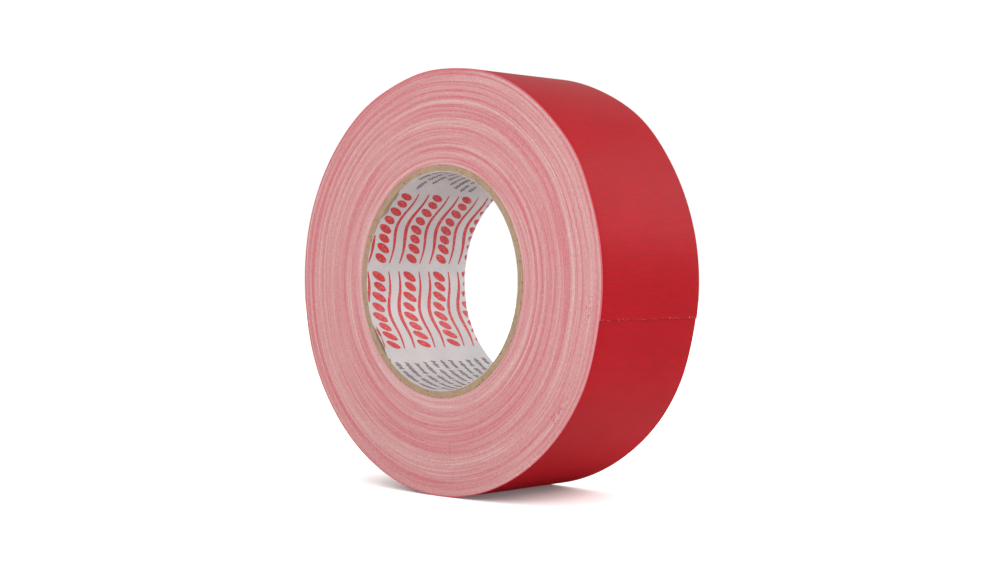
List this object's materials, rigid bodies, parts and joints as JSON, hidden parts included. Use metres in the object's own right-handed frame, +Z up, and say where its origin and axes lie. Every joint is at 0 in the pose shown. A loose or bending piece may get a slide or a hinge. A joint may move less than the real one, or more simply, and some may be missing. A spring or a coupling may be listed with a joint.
{
  "type": "duct tape roll",
  "caption": "Full roll of red cloth-backed tape on a spiral-wound paper core, standing on its rim, with a free end that peels and curls outward.",
  "frame": {"origin": "centre of the core's bore: on the roll's axis, at half the tape's width", "axes": "+Z up with the roll standing on its rim, Y along the roll's axis with the front side face towards -Y, +X towards the side where the free end lies"},
  "size_m": [0.1499, 0.05, 0.1497],
  "materials": {
    "coating": "satin",
    "cloth": "matte",
    "adhesive": "satin",
    "wound_tape": "matte",
    "core_board": "matte",
    "liner_paper": "matte"
  },
  "bodies": {
    "roll": {"core_liner": "liner_paper", "core_ply_1": "core_board", "core_ply_2": "core_board", "core_ply_3": "core_board", "core_ply_4": "core_board", "core_ply_5": "core_board", "core_outer_ply": "core_board", "tape_winding": "wound_tape", "outer_turn_adhesive": "adhesive", "outer_turn_cloth": "cloth", "outer_turn_coating": "coating"},
    "free_end_1": {"free_end_1_adhesive": "adhesive", "free_end_1_cloth": "cloth", "free_end_1_coating": "coating"},
    "free_end_2": {"free_end_2_adhesive": "adhesive", "free_end_2_cloth": "cloth", "free_end_2_coating": "coating"},
    "free_end_3": {"free_end_3_adhesive": "adhesive", "free_end_3_cloth": "cloth", "free_end_3_coating": "coating"},
    "free_end_4": {"free_end_4_adhesive": "adhesive", "free_end_4_cloth": "cloth", "free_end_4_coating": "coating"}
  },
  "joints": [
    {"name": "free_end_peel", "type": "hinge", "parent": "roll", "child": "free_end_1", "pos_m": [0.07268, 0, 0.0187], "axis": [0, -1, 0], "range_deg": [0, 30]},
    {"name": "free_end_curl_2", "type": "hinge", "parent": "free_end_1", "child": "free_end_2", "pos_m": [0.07426, 0, 0.01086], "axis": [0, -1, 0], "range_deg": [0, 30]},
    {"name": "free_end_curl_3", "type": "hinge", "parent": "free_end_2", "child": "free_end_3", "pos_m": [0.07499, 0, 0.0029], "axis": [0, -1, 0], "range_deg": [0, 30]},
    {"name": "free_end_curl_4", "type": "hinge", "parent": "free_end_3", "child": "free_end_4", "pos_m": [0.07488, 0, -0.0051], "axis": [0, -1, 0], "range_deg": [0, 30]}
  ],
  "couplings": [
    {"joint": "free_end_curl_2", "follows": "free_end_peel", "ratio": 1},
    {"joint": "free_end_curl_3", "follows": "free_end_peel", "ratio": 1},
    {"joint": "free_end_curl_4", "follows": "free_end_peel", "ratio": 1}
  ]
}
